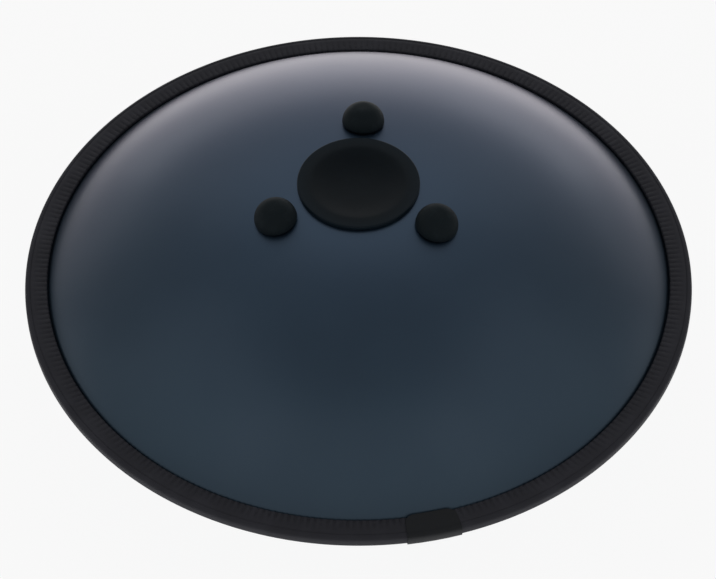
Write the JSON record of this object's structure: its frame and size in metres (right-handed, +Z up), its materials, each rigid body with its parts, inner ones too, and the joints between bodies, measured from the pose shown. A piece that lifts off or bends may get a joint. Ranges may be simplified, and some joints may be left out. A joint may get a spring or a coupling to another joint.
{
  "type": "tongue drum",
  "caption": "Steel tongue drum: pressed domes joined at a trimmed flange, a slotted playing face, rubber dome feet and a dished plug that pulls out of the sound port.",
  "frame": {"origin": "middle of the flat of the playing face, which lies on the ground", "axes": "+Z up through the sound port, from the playing face to the feet, as pictured; +X to the right and +Y away from the camera; the first foot lies near +Y"},
  "size_m": [0.45, 0.45, 0.1826],
  "materials": {
    "shell_steel": "satin",
    "trim_pvc": "satin",
    "rubber": "matte",
    "zinc_steel": "satin",
    "adhesive": "matte"
  },
  "bodies": {
    "drum": {"bottom_shell": "shell_steel", "tongue_shell": "shell_steel", "flange_bond": "adhesive", "rim_trim": "trim_pvc", "trim_clip_core": "zinc_steel", "trim_joint_sleeve": "trim_pvc", "foot_bumper_1": "rubber", "foot_stud_1": "zinc_steel", "foot_washer_1": "zinc_steel", "foot_nut_1": "zinc_steel", "foot_bumper_2": "rubber", "foot_stud_2": "zinc_steel", "foot_washer_2": "zinc_steel", "foot_nut_2": "zinc_steel", "foot_bumper_3": "rubber", "foot_stud_3": "zinc_steel", "foot_washer_3": "zinc_steel", "foot_nut_3": "zinc_steel"},
    "plug": {"port_plug": "rubber"}
  },
  "joints": [
    {"name": "plug_pull", "type": "slide", "parent": "drum", "child": "plug", "axis": [0, 0, 1], "range_m": [0, 0.04]}
  ]
}
